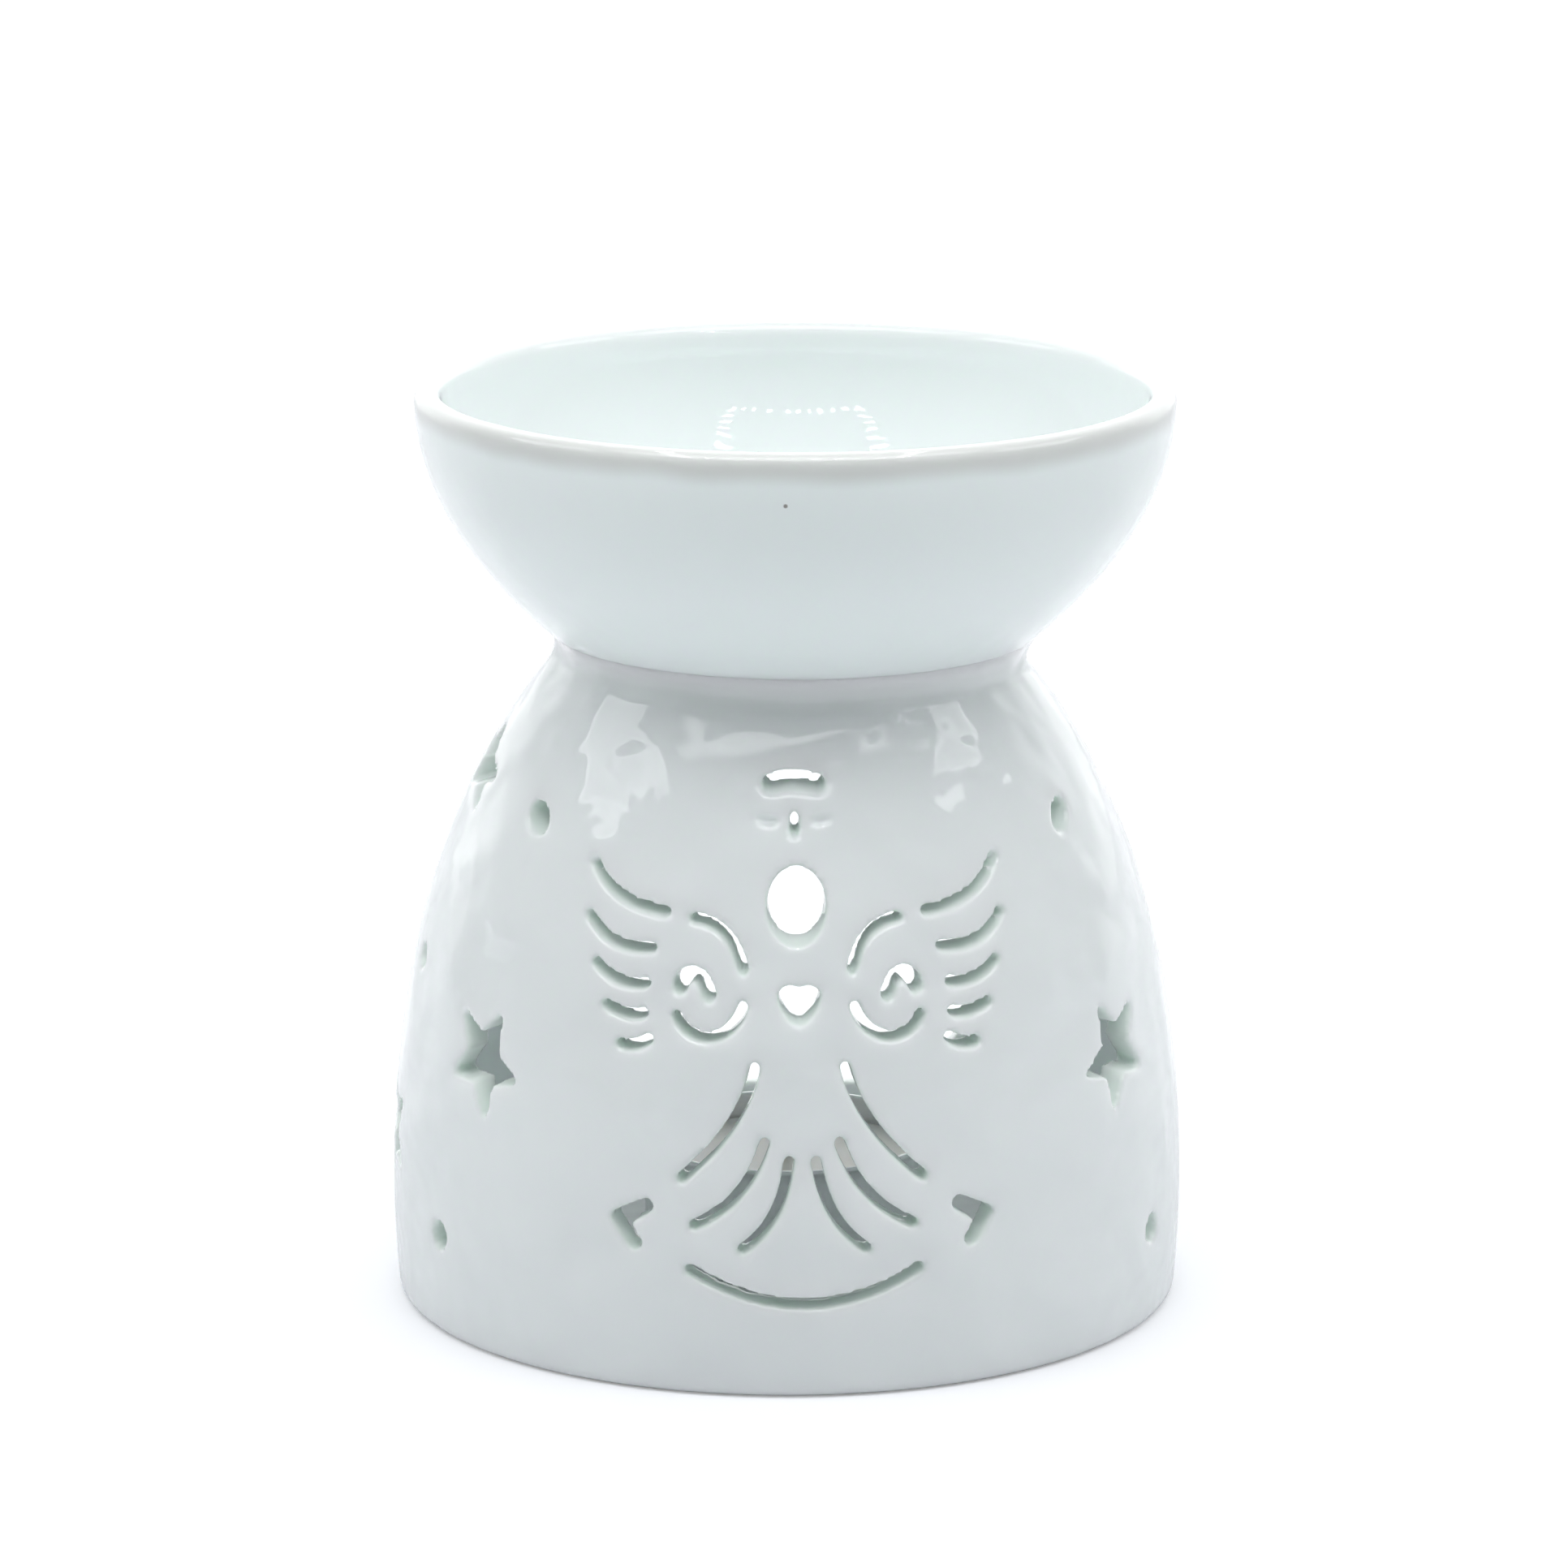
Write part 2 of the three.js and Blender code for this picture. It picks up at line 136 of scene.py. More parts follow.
# Stars and dots: azimuth in degrees from the front, height, half width, half height, tilt
STARS = [
    (-51.0, 38.6, 7.2, 7.5, 5.0),
    (-81.5, 71.4, 7.2, 5.3, 16.0),
    (-84.0, 23.0, 7.5, 7.5, -18.0),
    (-116.0, 46.0, 7.0, 7.0, 6.0),
    (57.5, 38.4, 7.3, 7.5, -6.0),
    (96.0, 69.0, 7.2, 5.6, -16.0),
    (103.0, 22.0, 7.4, 7.4, 18.0),
    (121.0, 47.0, 7.0, 7.0, -6.0),
]
STAR_WAIST = 0.43
STAR_GROWTH = 0.5  # what the softening of the clay takes off the tips again
DOTS = [
    (-51.0, 69.0, 2.0),
    (-60.0, 13.6, 1.85),
    (-77.0, 47.0, 1.4),
    (-108.0, 13.0, 1.85),
    (58.5, 68.4, 2.0),
    (66.0, 13.2, 1.85),
    (90.0, 45.2, 1.4),
    (122.0, 13.0, 1.85),
]


# The foil cup, in millimetres, and the part of its height that the pleats take
FOIL_WALL = 0.2
CUP_CORNER_R = 0.8
CUP_TAPER = 0.3
CUP_PUNT = 0.35  # how far the middle of the cup's underside is pushed up
PLEAT_DEPTH = 0.14
PLEATS_FROM = 0.04
PLEATS_TO = 0.93

# How the pierced wall is finished, in millimetres from the nearest cut
SMOOTHED_FROM = 0.9
SMOOTHED_BEYOND = 1.5
MOST_TRIANGLES = 190000

# The soft boxes in the tent's sides. Lean says how far round a direction lies, rise how high.
SOFT_BOX_LEAN = (-1.68, -0.84)
SOFT_BOX_RISE = (0.30, 0.452)
SOFT_BOX_MIDDLE_LEAN = (-1.58, -0.93)
SOFT_BOX_MIDDLE_RISE = (0.325, 0.437)

# The lamps over the dish, in millimetres: where each row starts and ends, and its lamps
LAMP_ROWS = [
    ((-42.0, -71.0), (42.0, -71.0), 11),
    ((-42.0, -66.0), (-31.0, -12.0), 7),
    ((42.0, -66.0), (31.0, -12.0), 7),
]


# ---- Sizes and colours that a user would change ----------------------------------------------


class CeramicSettings(bpy.types.PropertyGroup):
    wall: bpy.props.FloatProperty(
        name="Wall",
        description="Thickness of the dome's wall",
        default=3.5 * MM,
        unit="LENGTH",
    )
    dish_wall: bpy.props.FloatProperty(
        name="Dish Wall",
        description="Thickness of the dish's wall",
        default=3.6 * MM,
        unit="LENGTH",
    )
    neck_fillet: bpy.props.FloatProperty(
        name="Neck Fillet",
        description="Radius of the slip and glaze in the neck under the dish",
        default=4.2 * MM,
        unit="LENGTH",
    )
    clay_grain: bpy.props.FloatProperty(
        name="Clay Grain",
        description="Size of the cells that the pierced wall is softened with",
        default=0.45 * MM,
        unit="LENGTH",
    )
    glaze: bpy.props.FloatVectorProperty(
        name="Glaze",
        description="Colour of the white porcelain under its clear glaze",
        default=(0.845, 0.887, 0.887),
        subtype="COLOR",
    )
    # The cuts and the neck take this darker, greener colour, both for glaze that pools there and
    # as painted shade.
    pooled_glaze_and_painted_shade: bpy.props.FloatVectorProperty(
        name="Pooled Glaze",
        description="Colour where the glaze is thick, in the cuts and the neck",
        default=(0.80, 0.88, 0.84),
        subtype="COLOR",
    )
    bare_clay: bpy.props.FloatVectorProperty(
        name="Bare Clay",
        description="Colour of the unglazed foot ring",
        default=(0.72, 0.70, 0.66),
        subtype="COLOR",
    )


class TealightSettings(bpy.types.PropertyGroup):
    foil: bpy.props.FloatVectorProperty(
        name="Foil",
        description="Colour of the drawn aluminium cup",
        default=(0.94, 0.945, 0.95),
        subtype="COLOR",
    )
    flutes: bpy.props.IntProperty(
        name="Flutes",
        description="Number of small pleats round the cup's side",
        default=48,
    )
    wax: bpy.props.FloatVectorProperty(
        name="Wax",
        description="Colour of the paraffin wax",
        default=(0.90, 0.89, 0.84),
        subtype="COLOR",
    )


class StudioSettings(bpy.types.PropertyGroup):
    camera_distance: bpy.props.FloatProperty(
        name="Camera Distance",
        description="From the burner's axis to the camera, level",
        default=0.9,
        unit="LENGTH",
    )
    camera_height: bpy.props.FloatProperty(
        name="Camera Height",
        description="Height of the camera above the table",
        default=0.2833,
        unit="LENGTH",
    )
    camera_pitch: bpy.props.FloatProperty(
        name="Camera Pitch",
        description="How far the camera looks down",
        default=math.radians(13.49),
        unit="ROTATION",
    )
    lens: bpy.props.FloatProperty(
        name="Lens",
        description="Focal length in millimetres on a 36 mm sensor",
        default=162.28,
    )
    tent_front: bpy.props.FloatProperty(
        name="Tent Front",
        description="Brightness of the light tent behind the camera",
        default=0.11,
    )
    tent_side: bpy.props.FloatProperty(
        name="Tent Side",
        description="Brightness of the light tent's sides and roof",
        default=0.4,
    )
    tent_back: bpy.props.FloatProperty(
        name="Tent Back",
        description="How much brighter the tent is behind the object",
        default=1.3,
    )
    lamp_height: bpy.props.FloatProperty(
        name="Lamp Height",
        description="Height of the frame of small lamps above the table",
        default=190 * MM,
        unit="LENGTH",
    )
    lamp_strength: bpy.props.FloatProperty(
        name="Lamp Strength",
        description="Brightness of the small lamps over the dish",
        default=21.0,
    )
    roof_panel: bpy.props.FloatProperty(
        name="Roof Panel",
        description="How much brighter the panel in the front of the roof is",
        default=2.85,
    )
    soft_box: bpy.props.FloatProperty(
        name="Soft Box",
        description="How much brighter the soft box at each side is",
        default=2.9,
    )
    back_glow: bpy.props.FloatProperty(
        name="Back Glow",
        description="The same behind the object, where the paper is lit from below",
        default=0.25,
    )
    table_glow: bpy.props.FloatProperty(
        name="Table Glow",
        description="Light that comes up through the white table",
        default=0.05,
    )


# ---- Modelling by hand -----------------------------------------------------------------------


def deselect():
    """Leaves edit mode with nothing selected, so that an operator acts on the new piece only."""
    if bpy.context.mode != "OBJECT":
        bpy.ops.object.mode_set(mode="OBJECT")
    bpy.ops.object.select_all(action="DESELECT")


def pick(piece):
    deselect()
    piece.select_set(True)
    bpy.context.view_layer.objects.active = piece


def draw_outline(name, points):
    """A new object with a chain of edges through the points, left in edit mode."""
    deselect()
    bpy.ops.mesh.primitive_plane_add(size=MM)
    piece = bpy.context.active_object
    piece.name = piece.data.name = name
    bpy.ops.object.mode_set(mode="EDIT")
    bpy.ops.mesh.merge(type="CENTER")
    bpy.ops.transform.translate(value=points[0])
    for here, there in zip(points, points[1:]):
        step = Vector(there) - Vector(here)
        bpy.ops.mesh.extrude_vertices_move(TRANSFORM_OT_translate={"value": step})
    bpy.ops.mesh.select_all(action="SELECT")
    return piece


def turn(name, outline, steps, shift=0.0):
    """Turns an outline of (radius, height) in millimetres about the upright axis."""
    points = [(r * MM, 0.0, z * MM) for r, z in outline]
    piece = draw_outline(name, points)
    bpy.ops.mesh.spin(steps=steps, angle=2 * math.pi, center=(0, 0, 0), axis=(0, 0, 1))
    bpy.ops.mesh.select_all(action="SELECT")
    bpy.ops.mesh.remove_doubles(threshold=0.005 * MM)
    bpy.ops.mesh.normals_make_consistent(inside=False)
    if shift:
        bpy.ops.transform.translate(value=(shift * MM, 0, 0))
    bpy.ops.object.mode_set(mode="OBJECT")
    bpy.ops.object.shade_smooth()
    return piece


def add_modifier(piece, name, kind, **values):
    modifier = piece.modifiers.new(name, kind)
    for key, value in values.items():
        setattr(modifier, key, value)
    pick(piece)
    bpy.ops.object.modifier_apply(modifier=modifier.name)


def arc(centre_r, centre_z, radius, start, end, steps):
    """Points of a round stretch, angles in degrees from the outward direction."""
    angles = [math.radians(start + (end - start) * i / steps) for i in range(steps + 1)]
    return [(centre_r + radius * math.cos(a), centre_z + radius * math.sin(a)) for a in angles]


def heights(start, end, steps):
    return [start + (end - start) * i / steps for i in range(steps + 1)]


def dome_radius(z):
    if z < BELLY_Z:
        return DOME_R - FOOT_TAPER * ((BELLY_Z - z) / BELLY_Z) ** 2
    return DOME_R * math.sqrt(1 - ((z - BELLY_Z) / DOME_RISE) ** DOME_POWER)


def dome_inner_radius(z, wall):
    lean = dome_radius(z + 0.5) - dome_radius(z - 0.5)
    return dome_radius(z) - wall * math.hypot(1, lean)


def dish_radius(z):
    drop = max(DISH_TOP - 1 - z, 0.0)
    return DISH_R - DISH_SPREAD * (drop / DISH_DROP) ** DISH_POWER


def dish_inner_radius(z, wall):
    lean = dish_radius(z + 0.5) - dish_radius(z - 0.5)
    return dish_radius(z) - wall * math.hypot(1, lean)


# ---- Cutting the figure, the stars and the dots ----------------------------------------------


def figure_middle(z):
    """The figure leans a little, so its middle drifts across the wall on the way down."""
    return 0.9 + (74 - z) * 0.025


def bezier(points, steps):
    """Points along a Bezier curve of any degree."""
    line = []
    for i in range(steps + 1):
        t = i / steps
        level = [Vector(p) for p in points]
        while len(level) > 1:
            level = [a.lerp(b, t) for a, b in zip(level, level[1:])]
        line.append(level[0])
    return line


def slot_outline(line, width):
    """A slot of even width with round ends along a line of points."""
    left, right = [], []
    for i, point in enumerate(line):
        back = line[max(i - 1, 0)]
        ahead = line[min(i + 1, len(line) - 1)]
        along = (ahead - back).normalized()
        side = Vector((-along.y, along.x)) * width / 2
        if 0 < i < len(line) - 1:
            bend = (ahead - point).normalized().dot(along)
            side /= max(bend, 0.5)
        left.append(point + side)
        right.append(point - side)
    end = round_end(line[-1], line[-1] - line[-2], width)
    start = round_end(line[0], line[0] - line[1], width)
    return right + end + left[::-1] + start


def round_end(tip, direction, width):
    heading = math.atan2(direction.y, direction.x)
    angles = [heading + math.radians(d) for d in (-60, -30, 0, 30, 60)]
    return [tip + Vector((math.cos(a), math.sin(a))) * width / 2 for a in angles]


def oval_outline(x, z, half_width, half_height, sides):
    angles = [2 * math.pi * i / sides for i in range(sides)]
    return [Vector((x + half_width * math.cos(a), z + half_height * math.sin(a))) for a in angles]


def star_outline(x, z, half_width, half_height, tilt):
    """A star with one tip down."""
    outline = []
    for i in range(10):
        angle = math.radians(36 * i - 90 + tilt)
        reach = STAR_WAIST if i % 2 else 1.0
        across = reach * half_width * math.cos(angle)
        up = reach * half_height * math.sin(angle)
        outline.append(Vector((x + across, z + up)))
    return outline


def heart_outline(x, z, half_width, height):
    left, right, top = x - half_width, x + half_width, z + height
    sides = [
        ((x, z), (x + 1, z), (right, z + 0.4 * height), (right, z + 0.75 * height)),
        ((right, z + 0.75 * height), (right, top), (x + 0.8, top + 0.5), (x, top - 0.5)),
        ((x, top - 0.5), (x - 0.8, top + 0.5), (left, top), (left, z + 0.75 * height)),
        ((left, z + 0.75 * height), (left, z + 0.4 * height), (x - 1, z), (x, z)),
    ]
    return [point for side in sides for point in bezier(side, 6)[:-1]]


def opening_outline():
    w, r = OPENING_HALF_WIDTH, OPENING_CORNER_R
    low = OPENING_SILL + r
    return (
        arc(w - r, low, r, -90, 0, 12)
        + arc(0, OPENING_SPRING, w, 0, 180, 32)
        + arc(r - w, low, r, 180, 270, 12)
    )


def wall_cutter(outline, soften=0.0):
    """Cuts through the wall towards a point on the axis. The outline is in (across, height)."""
    middle = sum(z for _, z in outline) / len(outline)
    aim = Vector((0, 0, middle + CUT_RISE)) * MM
    points = []
    for x, z in outline:
        azimuth = x / dome_radius(z)
        radius = dome_radius(z)
        place = Vector((radius * math.sin(azimuth), -radius * math.cos(azimuth), z)) * MM
        points.append(aim.lerp(place, CUT_OUTSIDE))
    cutter = draw_outline("cutter", points)
    bpy.ops.mesh.edge_face_add()
    if soften:
        bpy.ops.mesh.bevel(affect="VERTICES", offset=soften * MM, segments=3)
        bpy.ops.mesh.select_all(action="SELECT")
    bpy.ops.mesh.extrude_region_move()
    inward = CUT_INSIDE / CUT_OUTSIDE
    bpy.ops.transform.resize(value=(inward, inward, inward), center_override=aim)
    bpy.ops.mesh.select_all(action="SELECT")
    bpy.ops.mesh.normals_make_consistent(inside=False)
    bpy.ops.object.mode_set(mode="OBJECT")
    return cutter


def opening_cutter():
    points = [(x * MM, 60 * MM, z * MM) for x, z in opening_outline()]
    cutter = draw_outline("cutter", points)
    bpy.ops.mesh.edge_face_add()
    bpy.ops.mesh.extrude_region_move(TRANSFORM_OT_translate={"value": (0, -40 * MM, 0)})
    bpy.ops.mesh.select_all(action="SELECT")
    bpy.ops.mesh.normals_make_consistent(inside=False)
    bpy.ops.object.mode_set(mode="OBJECT")
    return cutter


def figure_cutters():
    cutters = []
    for sides, slots in (((-1, 1), HALF_FIGURE), ((1,), WHOLE_FIGURE)):
        for side in sides:
            for width, *points in slots:
                placed = [(figure_middle(z) + side * x, z) for x, z in points]
                cutters.append(wall_cutter(slot_outline(bezier(placed, 12), width)))
    for side in (-1, 1):
        arms = [Vector((figure_middle(z) + side * x, z)) for x, z in CHEVRON]
        cutters.append(wall_cutter(slot_outline(arms, WIDE)))
    z, half_width, half_height = FACE_OVAL
    cutters.append(wall_cutter(oval_outline(figure_middle(z), z, half_width, half_height, 40)))
    z, half_width, height = HEART
    cutters.append(wall_cutter(heart_outline(figure_middle(z), z, half_width, height)))
    return cutters


def side_cutters():
    cutters = []
    for azimuth, z, half_width, half_height, tilt in STARS:
        across = math.radians(azimuth) * dome_radius(z)
        grown = (half_width + STAR_GROWTH, half_height + STAR_GROWTH)
        outline = star_outline(across, z, *grown, tilt)
        cutters.append(wall_cutter(outline, soften=0.4))
    for azimuth, z, radius in DOTS:
        across = math.radians(azimuth) * dome_radius(z)
        cutters.append(wall_cutter(oval_outline(across, z, radius, radius, 24)))
    return cutters


def join(pieces, name):
    deselect()
    for piece in pieces:
        piece.select_set(True)
    bpy.context.view_layer.objects.active = pieces[0]
    bpy.ops.object.join()
    joined = bpy.context.active_object
    joined.name = joined.data.name = name
    return joined


def remove(piece):
    pick(piece)
    bpy.ops.object.delete()


# ---- Materials -------------------------------------------------------------------------------


def node(tree, kind, inputs=None, **values):
    """Adds a shader node. inputs maps a socket to a value or to another node's output."""
    made = tree.nodes.new(kind)
    for key, value in values.items():
        setattr(made, key, value)
    for key, value in (inputs or {}).items():
        if isinstance(value, bpy.types.NodeSocket):
            tree.links.new(value, made.inputs[key])
        else:
            made.inputs[key].default_value = value
    return made


def new_material(name):
    material = bpy.data.materials.new(name)
    material.use_nodes = True
    tree = material.node_tree
    return material, tree, tree.nodes["Principled BSDF"]


def ramp(tree, factor, stops):
    """A colour ramp with (position, grey) stops."""
    made = node(tree, "ShaderNodeValToRGB", {"Fac": factor})
    elements = made.color_ramp.elements
    while len(elements) < len(stops):
        elements.new(0.5)
    for element, (position, grey) in zip(elements, stops):
        element.position = position
        element.color = (grey, grey, grey, 1)
    return made.outputs["Color"]


def mix_colour(tree, factor, first, second):
    made = node(tree, "ShaderNodeMix", data_type="RGBA")
    for key, value in ((0, factor), (6, first), (7, second)):
        if isinstance(value, bpy.types.NodeSocket):
            tree.links.new(value, made.inputs[key])
        elif key:
            made.inputs[key].default_value = (*value, 1)
        else:
            made.inputs[key].default_value = value
    return made.outputs[2]


def object_coordinates(tree):
    return node(tree, "ShaderNodeTexCoord").outputs["Object"]


def glaze_bump(tree, place, ripple):
    """Slow ripples of run glaze, with a finer orange peel on them."""
    slow = node(
        tree, "ShaderNodeTexNoise", {"Vector": place, "Scale": 85.0, "Detail": 1.5}
    ).outputs["Fac"]
    fine = node(
        tree, "ShaderNodeTexNoise", {"Vector": place, "Scale": 420.0, "Detail": 1.0}
    ).outputs["Fac"]
    first = node(
        tree, "ShaderNodeBump", {"Height": slow, "Strength": ripple, "Distance": 1.5 * MM}
    )
    second = node(
        tree,
        "ShaderNodeBump",
        {"Height": fine, "Strength": 0.05, "Distance": 0.2 * MM, "Normal": first.outputs[0]},
    )
    return second.outputs["Normal"]


def specks(tree, place, colour):
    """Sparse pinholes and iron specks in the glaze."""
    cells = node(tree, "ShaderNodeTexVoronoi", {"Vector": place, "Scale": 75.0})
    near = ramp(tree, cells.outputs["Distance"], [(0.016, 1.0), (0.026, 0.0)])
    chosen = node(tree, "ShaderNodeSeparateColor", {"Color": cells.outputs["Color"]})
    rare = ramp(tree, chosen.outputs[0], [(0.955, 0.0), (0.96, 1.0)])
    both = node(tree, "ShaderNodeMath", {0: near, 1: rare}, operation="MULTIPLY")
    return mix_colour(tree, both.outputs[0], colour, (0.30, 0.29, 0.27))


def glazed_porcelain(settings, name, ripple, painted_shade_band=None):
    """White porcelain under clear glaze. In the cuts and the neck it is cooler and greener, partly
    for glaze that pools there and partly as painted shade.
    """
    material, tree, shader = new_material(name)
    place = object_coordinates(tree)
    pooled_and_painted_shade = node(tree, "ShaderNodeAttribute", attribute_name="pooled_and_painted_shade").outputs["Fac"]
    cloud = node(
        tree, "ShaderNodeTexNoise", {"Vector": place, "Scale": 22.0, "Detail": 2.0}
    ).outputs["Fac"]
    paler = tuple(min(c * 1.02, 1.0) for c in settings.glaze)
    colour = mix_colour(tree, cloud, tuple(settings.glaze), paler)
    # Painted shade with pooling glaze: the cuts and the neck are mixed towards the darker, greener
    # colour.
    colour = mix_colour(tree, pooled_and_painted_shade, colour, tuple(settings.pooled_glaze_and_painted_shade))
    colour = specks(tree, place, colour)
    # An optional band of painted shade, mixed over the colour.
    if painted_shade_band:
        colour = painted_shade_band(tree, place, colour)
    tree.links.new(colour, shader.inputs["Base Color"])
    tree.links.new(glaze_bump(tree, place, ripple), shader.inputs["Normal"])
    shader.inputs["Roughness"].default_value = 0.03
    shader.inputs["IOR"].default_value = 1.5
    shader.inputs["Subsurface Weight"].default_value = 0.7
    shader.inputs["Subsurface Radius"].default_value = (1.0, 1.1, 1.0)
    shader.inputs["Subsurface Scale"].default_value = 3.0 * MM
    return material


def painted_lip_shade(tree, place, colour):
    """Painted shade: a darker, more neutral grey band on the outside of the dish's lip, strongest
    towards its top, with a wavering lower edge.
    """
    flat = node(
        tree,
        "ShaderNodeVectorMath",
        {0: place, 1: (1, 1, 0), 2: (-DISH_SHIFT * MM, 0, 0)},
        operation="MULTIPLY_ADD",
    ).outputs[0]
    radius = node(tree, "ShaderNodeVectorMath", {0: flat}, operation="LENGTH").outputs["Value"]
    outside = node(
        tree,
        "ShaderNodeMapRange",
        {"Value": radius, "From Min": (DISH_R - 2.4) * MM, "From Max": (DISH_R - 1.0) * MM},
        interpolation_type="SMOOTHSTEP",
    ).outputs[0]
    height = node(tree, "ShaderNodeSeparateXYZ", {"Vector": place}).outputs["Z"]
    waver = node(
        tree, "ShaderNodeTexNoise", {"Vector": place, "Scale": 60.0, "Detail": 1.0}
    ).outputs["Fac"]
    low = node(
        tree,
        "ShaderNodeMath",
        {0: waver, 1: 2.4 * MM, 2: height},
        operation="MULTIPLY_ADD",
    ).outputs[0]
    start = (DISH_TOP - 3.2) * MM
    lip = node(
        tree,
        "ShaderNodeMapRange",
        {"Value": low, "From Min": start, "From Max": start + 2.6 * MM, "To Max": 0.8},
        interpolation_type="SMOOTHSTEP",
    ).outputs[0]
    lip = node(tree, "ShaderNodeMath", {0: lip, 1: outside}, operation="MULTIPLY").outputs[0]
    # Painted shade: the outside of the lip is mixed towards a darker grey.
    return mix_colour(tree, lip, colour, (0.65, 0.655, 0.645))


def bare_clay(settings, name):
    material, tree, shader = new_material(name)
    place = object_coordinates(tree)
    grain = node(
        tree, "ShaderNodeTexNoise", {"Vector": place, "Scale": 900.0, "Detail": 3.0}
    ).outputs["Fac"]
    darker = tuple(c * 0.82 for c in settings.bare_clay)
    colour = mix_colour(tree, grain, tuple(settings.bare_clay), darker)
    tree.links.new(colour, shader.inputs["Base Color"])
    bump = node(
        tree, "ShaderNodeBump", {"Height": grain, "Strength": 0.4, "Distance": 0.1 * MM}
    )
    tree.links.new(bump.outputs["Normal"], shader.inputs["Normal"])
    shader.inputs["Roughness"].default_value = 0.85
    return material


def foil(settings):
    material, tree, shader = new_material("drawn_foil")
    place = object_coordinates(tree)
    scratches = node(
        tree, "ShaderNodeTexNoise", {"Vector": place, "Scale": 900.0, "Detail": 4.0}
    ).outputs["Fac"]
    tone = tuple(c * 0.88 for c in settings.foil)
    colour = mix_colour(tree, scratches, tuple(settings.foil), tone)
    tree.links.new(colour, shader.inputs["Base Color"])
    rough = node(
        tree, "ShaderNodeMapRange", {"Value": scratches, "To Min": 0.35, "To Max": 0.6}
    )
    tree.links.new(rough.outputs[0], shader.inputs["Roughness"])
    bump = node(
        tree, "ShaderNodeBump", {"Height": scratches, "Strength": 0.15, "Distance": 0.05 * MM}
    )
    tree.links.new(bump.outputs["Normal"], shader.inputs["Normal"])
    shader.inputs["Metallic"].default_value = 1.0
    return material


def paraffin(settings):
    material, tree, shader = new_material("paraffin")
    place = object_coordinates(tree)
    mottle = node(
        tree, "ShaderNodeTexNoise", {"Vector": place, "Scale": 160.0, "Detail": 3.0}
    ).outputs["Fac"]
    paler = tuple(min(c * 1.06, 1.0) for c in settings.wax)
    colour = mix_colour(tree, mottle, tuple(settings.wax), paler)
    tree.links.new(colour, shader.inputs["Base Color"])
    bump = node(
        tree, "ShaderNodeBump", {"Height": mottle, "Strength": 0.2, "Distance": 0.3 * MM}
    )
    tree.links.new(bump.outputs["Normal"], shader.inputs["Normal"])
    shader.inputs["Roughness"].default_value = 0.38
    shader.inputs["Subsurface Weight"].default_value = 0.6
    shader.inputs["Subsurface Radius"].default_value = (1.0, 0.9, 0.75)
    shader.inputs["Subsurface Scale"].default_value = 3.0 * MM
    return material


def cotton():
    material, tree, shader = new_material("waxed_cotton")
    place = object_coordinates(tree)
    fibre = node(
        tree, "ShaderNodeTexNoise", {"Vector": place, "Scale": 2600.0, "Detail": 3.0}
    ).outputs["Fac"]
    colour = mix_colour(tree, fibre, (0.86, 0.83, 0.75), (0.62, 0.59, 0.51))
    tree.links.new(colour, shader.inputs["Base Color"])
    bump = node(
        tree, "ShaderNodeBump", {"Height": fibre, "Strength": 0.6, "Distance": 0.1 * MM}
    )
    tree.links.new(bump.outputs["Normal"], shader.inputs["Normal"])
    shader.inputs["Roughness"].default_value = 0.8
    return material


def tinplate():
    material, tree, shader = new_material("tinplate")
    place = object_coordinates(tree)
    grain = node(
        tree, "ShaderNodeTexNoise", {"Vector": place, "Scale": 1400.0, "Detail": 2.0}
    ).outputs["Fac"]
    colour = mix_colour(tree, grain, (0.58, 0.59, 0.60), (0.46, 0.47, 0.48))
    tree.links.new(colour, shader.inputs["Base Color"])
    shader.inputs["Metallic"].default_value = 1.0
    shader.inputs["Roughness"].default_value = 0.34
    return material


# ---- The ceramic pieces ----------------------------------------------------------------------


def offset_outline(radius_at, low, high, distance):
    """Points at a distance outside an outline, each with the height that it belongs to."""
    z = np.linspace(low, high, 400)
    r = np.array([radius_at(height) for height in z])
    lean = np.gradient(r, z)
    length = np.hypot(1, lean)
    return np.stack([r + distance / length, z - distance * lean / length], 1), z


def neck_fillet(radius):
    """The glazed slip in the neck: an arc that meets the dome and the dish without a step."""
    dome, dome_z = offset_outline(dome_radius, 76, NECK_Z + 1, radius)
    dish, dish_z = offset_outline(dish_radius, DISH_FOOT, 97, radius)
    apart = np.linalg.norm(dome[:, None] - dish[None], axis=2)
    i, j = np.unravel_index(apart.argmin(), apart.shape)
    centre_r, centre_z = dome[i]
    low, high = float(dome_z[i]), float(dish_z[j])
    start = math.degrees(math.atan2(low - centre_z, dome_radius(low) - centre_r))
    end = math.degrees(math.atan2(high - centre_z, dish_radius(high) - centre_r))
    start += 360 * (start < 0)
    return arc(centre_r, centre_z, radius, start, end, 20), low, high


